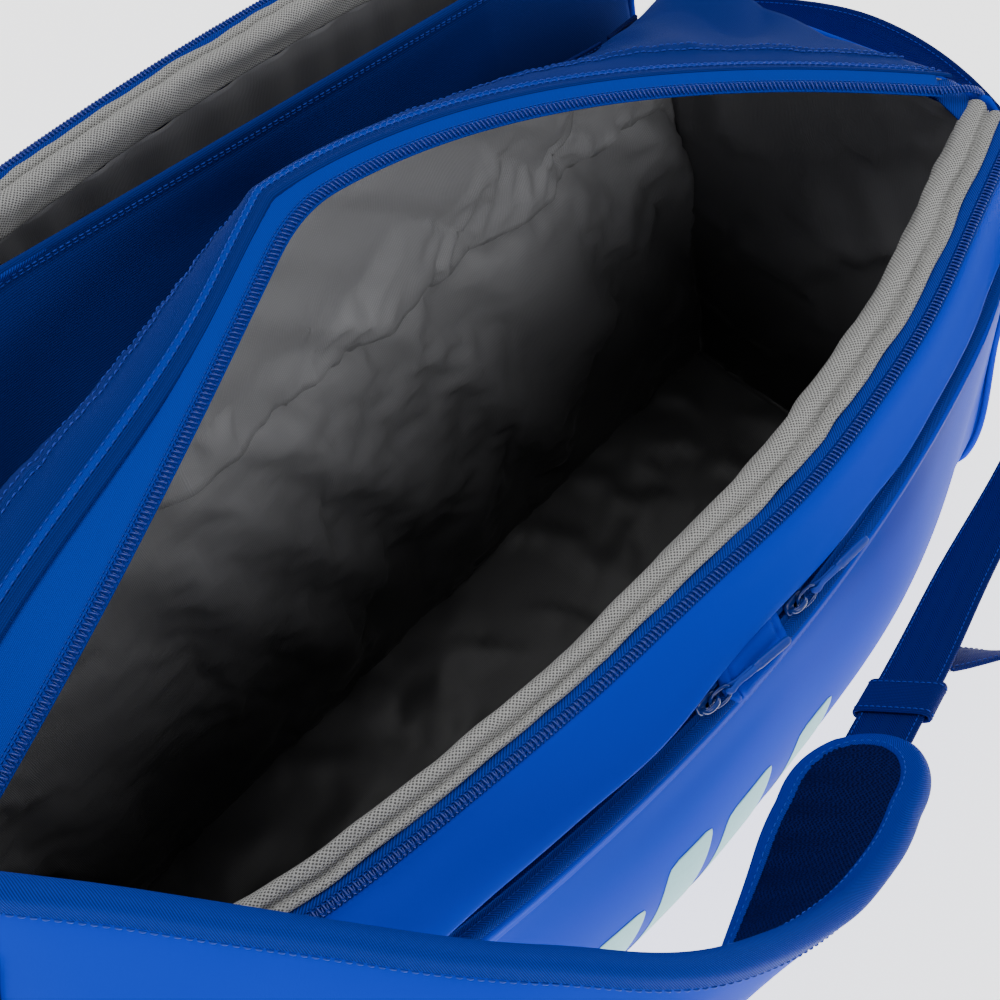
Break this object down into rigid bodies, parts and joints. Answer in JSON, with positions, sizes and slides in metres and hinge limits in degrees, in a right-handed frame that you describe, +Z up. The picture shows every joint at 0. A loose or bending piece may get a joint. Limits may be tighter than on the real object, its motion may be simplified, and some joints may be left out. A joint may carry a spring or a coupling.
{
  "type": "racket tournament bag",
  "caption": "Soft racket bag with side-by-side unzipped compartments, padded mesh rims, a zipped front pocket and padded shoulder straps with webbing.",
  "frame": {"origin": "centre of the base's underside, on the floor", "axes": "+X along the bag, -Y to the front with the zipped pocket, +Z up"},
  "size_m": [0.7501, 0.5129, 0.4223],
  "materials": {
    "pu_blue": "coated synthetic leather, slight gloss",
    "polyester_blue": "ribbed coated polyester weave",
    "twill_blue": "twill tape",
    "mesh_navy": "air mesh",
    "mesh_grey": "spacer mesh",
    "lining_grey": "satin lining",
    "board_black": "matt board",
    "coil_blue": "nylon coil",
    "slider_metal": "enamelled",
    "ring_wire": "enamelled wire with a moulded grip",
    "foam_black": "closed-cell foam",
    "webbing_blue": "herringbone webbing"
  },
  "bodies": {
    "bag": {"base_panel": "pu_blue", "base_boards": "board_black", "lining_floors": "lining_grey", "front_wall": "polyester_blue", "front_pocket_panel": "pu_blue", "front_top_band": "pu_blue", "divider_wall_a": "polyester_blue", "divider_wall_b": "polyester_blue", "inner_panel_b": "polyester_blue", "top_flap_a": "polyester_blue", "rear_panel": "pu_blue", "spine_panel": "polyester_blue", "lining_a_front": "lining_grey", "lining_a_rear": "lining_grey", "lining_a_flap": "lining_grey", "lining_b": "lining_grey", "end_panel_a_near": "pu_blue", "end_panel_b_near": "pu_blue", "end_panel_a_far": "pu_blue", "end_panel_b_far": "pu_blue", "rim_roll_a": "mesh_grey", "zip_tape_a": "twill_blue", "zip_coil_a_front": "coil_blue", "zip_coil_a_rear": "coil_blue", "rim_roll_b": "mesh_grey", "zip_tape_b": "twill_blue", "zip_coil_b": "coil_blue", "pocket_zip_chain": "coil_blue", "pocket_zip_tape": "twill_blue", "pocket_tab": "pu_blue", "zip_tail_a": "twill_blue", "zip_tail_b": "twill_blue", "strap_anchors": "webbing_blue"},
    "front_strap": {"front_strap_skin": "pu_blue", "front_strap_foam": "foam_black", "front_strap_mesh": "mesh_navy", "front_strap_binding": "twill_blue", "front_strap_web": "webbing_blue", "front_strap_tail": "webbing_blue", "front_strap_tab": "pu_blue"},
    "front_keeper": {"front_strap_keeper": "webbing_blue"},
    "rear_strap": {"rear_strap_skin": "pu_blue", "rear_strap_foam": "foam_black", "rear_strap_mesh": "mesh_navy", "rear_strap_binding": "twill_blue", "rear_strap_web": "webbing_blue"},
    "rear_keeper": {"rear_strap_keeper": "webbing_blue"},
    "slider_pocket_near": {"slider_pocket_near": "slider_metal"},
    "puller_pocket_near": {"puller_pocket_near": "ring_wire"},
    "slider_pocket_far": {"slider_pocket_far": "slider_metal"},
    "puller_pocket_far": {"puller_pocket_far": "ring_wire"},
    "slider_a_near": {"slider_a_near": "slider_metal"},
    "puller_a_near": {"puller_a_near": "ring_wire"},
    "slider_a_far": {"slider_a_far": "slider_metal"},
    "puller_a_far": {"puller_a_far": "ring_wire"},
    "slider_b_near": {"slider_b_near": "slider_metal"},
    "puller_b_near": {"puller_b_near": "ring_wire"},
    "slider_b_far": {"slider_b_far": "slider_metal"},
    "puller_b_far": {"puller_b_far": "ring_wire"}
  },
  "joints": [
    {"name": "front_strap_swing", "type": "hinge", "parent": "bag", "child": "front_strap", "pos_m": [0, 0.115, 0.262], "axis": [-1, 0, 0], "range_deg": [0, 80]},
    {"name": "rear_strap_tip", "type": "hinge", "parent": "bag", "child": "rear_strap", "pos_m": [0, 0.115, 0.262], "axis": [1, 0, 0], "range_deg": [0, 10]},
    {"name": "front_keeper_slide", "type": "slide", "parent": "front_strap", "child": "front_keeper", "axis": [0.9516, 0.1332, -0.2768], "range_m": [-0.008, 0.008]},
    {"name": "rear_keeper_slide", "type": "slide", "parent": "rear_strap", "child": "rear_keeper", "axis": [1, 0, 0.0042], "range_m": [-0.008, 0.008]},
    {"name": "slide_pocket_near", "type": "hinge", "parent": "bag", "child": "slider_pocket_near", "pos_m": [0.04, 0.72909, 0.282], "axis": [0, 0, -1], "range_deg": [0, 5]},
    {"name": "pull_pocket_near", "type": "hinge", "parent": "slider_pocket_near", "child": "puller_pocket_near", "pos_m": [0.01194, -0.18156, 0.28315], "axis": [-0.0154, -0.4996, -0.8661], "range_deg": [0, 150]},
    {"name": "slide_pocket_far", "type": "hinge", "parent": "bag", "child": "slider_pocket_far", "pos_m": [0.04, 0.72909, 0.282], "axis": [0, 0, 1], "range_deg": [0, 5]},
    {"name": "pull_pocket_far", "type": "hinge", "parent": "slider_pocket_far", "child": "puller_pocket_far", "pos_m": [0.07407, -0.18135, 0.28315], "axis": [0.0187, -0.4994, -0.8662], "range_deg": [0, 150]},
    {"name": "slide_a_near", "type": "slide", "parent": "bag", "child": "slider_a_near", "axis": [0, 0, 1], "range_m": [0, 0.02]},
    {"name": "pull_a_near", "type": "hinge", "parent": "slider_a_near", "child": "puller_a_near", "pos_m": [-0.3529, -0.072, 0.222], "axis": [0, 1, 0], "range_deg": [0, 100]},
    {"name": "slide_a_far", "type": "slide", "parent": "bag", "child": "slider_a_far", "axis": [0, 0, 1], "range_m": [0, 0.02]},
    {"name": "pull_a_far", "type": "hinge", "parent": "slider_a_far", "child": "puller_a_far", "pos_m": [0.3529, -0.094, 0.222], "axis": [0, -1, 0], "range_deg": [0, 100]},
    {"name": "slide_b_near", "type": "slide", "parent": "bag", "child": "slider_b_near", "axis": [0, 0, 1], "range_m": [0, 0.06]},
    {"name": "pull_b_near", "type": "hinge", "parent": "slider_b_near", "child": "puller_b_near", "pos_m": [-0.3529, 0.172, 0.222], "axis": [0, 1, 0], "range_deg": [0, 100]},
    {"name": "slide_b_far", "type": "slide", "parent": "bag", "child": "slider_b_far", "axis": [0, 0, 1], "range_m": [0, 0.06]},
    {"name": "pull_b_far", "type": "hinge", "parent": "slider_b_far", "child": "puller_b_far", "pos_m": [0.3529, 0.172, 0.222], "axis": [0, -1, 0], "range_deg": [0, 100]}
  ]
}
